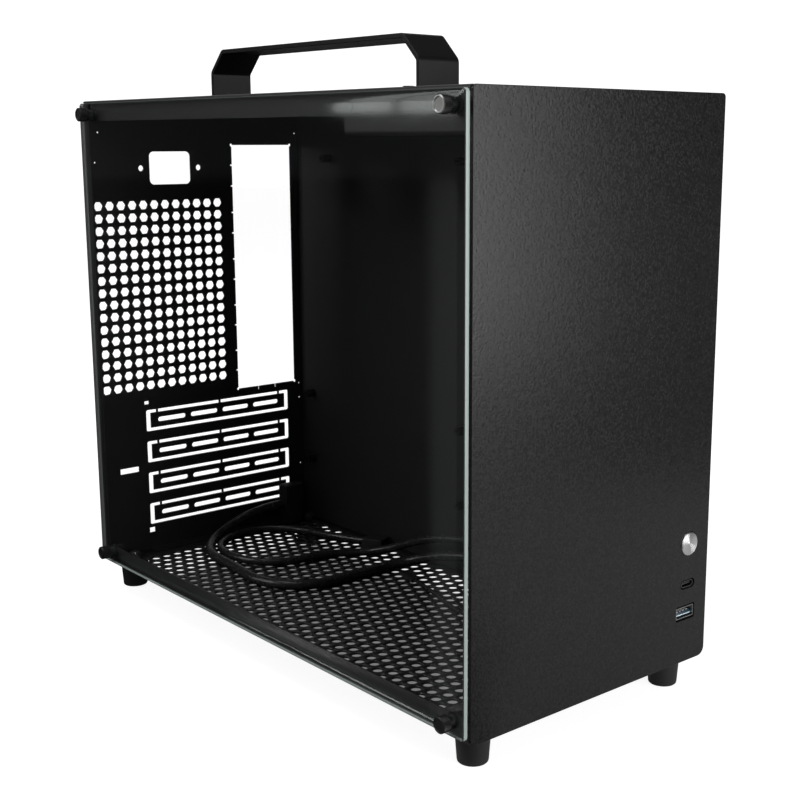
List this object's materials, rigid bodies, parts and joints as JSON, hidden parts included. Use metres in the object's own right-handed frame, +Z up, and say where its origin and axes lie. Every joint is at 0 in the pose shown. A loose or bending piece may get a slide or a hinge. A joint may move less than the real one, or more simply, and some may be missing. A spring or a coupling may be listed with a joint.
{
  "type": "computer case",
  "caption": "Small upright black computer case with a glass side, a perforated floor, a vented rear, a strap handle and rubber feet.",
  "frame": {"origin": "on the floor, midway across the overall width and midway along the steel body", "axes": "+Z up, +Y from the front panel to the rear panel, +X from the glass side to the closed side"},
  "size_m": [0.173, 0.3428, 0.3282],
  "materials": {
    "front_coat": "fine textured black powder coat",
    "black_coat": "smooth satin black powder coat",
    "handle_coat": "satin black powder coat",
    "glass": "clear, polished edges",
    "black_screws": "black coated, semi-gloss",
    "bare_steel": "plain zinc-plated",
    "button_metal": "turned, fine circular brushing",
    "port_steel": "bright",
    "contact_metal": "gold-plated",
    "black_rubber": "matte",
    "black_plastic": "fine satin",
    "blue_plastic": "satin blue",
    "circuit_board": "solder mask",
    "cable_jacket": "smooth flexible jacket"
  },
  "bodies": {
    "case": {"front_panel": "front_coat", "top_panel": "black_coat", "floor_panel": "black_coat", "rear_panel": "black_coat", "side_panel": "black_coat", "mainboard_tray": "black_coat", "supply_bracket": "black_coat", "handle": "handle_coat", "glass_panel": "glass", "side_screws": "black_screws", "front_screws": "black_screws", "bracket_rivets": "black_screws", "handle_screws": "black_screws", "standoffs": "bare_steel", "glass_nuts": "bare_steel", "handle_nuts": "bare_steel", "foot_nuts": "bare_steel", "foot_screws": "bare_steel", "io_screws": "bare_steel", "io_posts": "bare_steel", "glass_spacers": "black_rubber", "button_guide": "black_plastic", "power_switch": "black_plastic", "io_board": "circuit_board", "usb_a_shell": "port_steel", "usb_c_shell": "port_steel", "usb_a_tongue": "blue_plastic", "usb_c_tongue": "black_plastic", "usb_a_contacts": "contact_metal", "usb_a_boot": "black_plastic", "usb_c_boot": "black_plastic", "switch_boot": "black_plastic", "usb_a_cable": "cable_jacket", "usb_c_cable": "cable_jacket", "switch_lead": "cable_jacket", "usb_a_plug": "black_plastic", "usb_c_plug": "black_plastic", "switch_plug": "black_plastic", "foot_front_left": "black_rubber", "foot_front_right": "black_rubber", "foot_rear_left": "black_rubber", "foot_rear_right": "black_rubber", "washer_top_front": "black_screws", "washer_top_rear": "black_screws", "washer_bottom_front": "black_screws", "washer_bottom_rear": "black_screws"},
    "button": {"power_button": "button_metal", "switch_plunger": "black_plastic"},
    "thumbscrew_top_front": {"thumbscrew_top_front": "black_screws"},
    "thumbscrew_top_rear": {"thumbscrew_top_rear": "black_screws"},
    "thumbscrew_bottom_front": {"thumbscrew_bottom_front": "black_screws"},
    "thumbscrew_bottom_rear": {"thumbscrew_bottom_rear": "black_screws"}
  },
  "joints": [
    {"name": "power_button_press", "type": "slide", "parent": "case", "child": "button", "axis": [0, 1, 0], "range_m": [0, 0.0008], "stiffness_N_per_m": 400, "springref_m": -0.003},
    {"name": "thumbscrew_top_front_turn", "type": "hinge", "parent": "case", "child": "thumbscrew_top_front", "pos_m": [-0.07785, -0.16075, 0.29], "axis": [-1, 0, 0], "range_deg": [0, 360]},
    {"name": "thumbscrew_top_rear_turn", "type": "hinge", "parent": "case", "child": "thumbscrew_top_rear", "pos_m": [-0.07785, 0.15825, 0.29], "axis": [-1, 0, 0], "range_deg": [0, 360]},
    {"name": "thumbscrew_bottom_front_turn", "type": "hinge", "parent": "case", "child": "thumbscrew_bottom_front", "pos_m": [-0.07785, -0.16075, 0.0257], "axis": [-1, 0, 0], "range_deg": [0, 360]},
    {"name": "thumbscrew_bottom_rear_turn", "type": "hinge", "parent": "case", "child": "thumbscrew_bottom_rear", "pos_m": [-0.07785, 0.15825, 0.0257], "axis": [-1, 0, 0], "range_deg": [0, 360]}
  ]
}
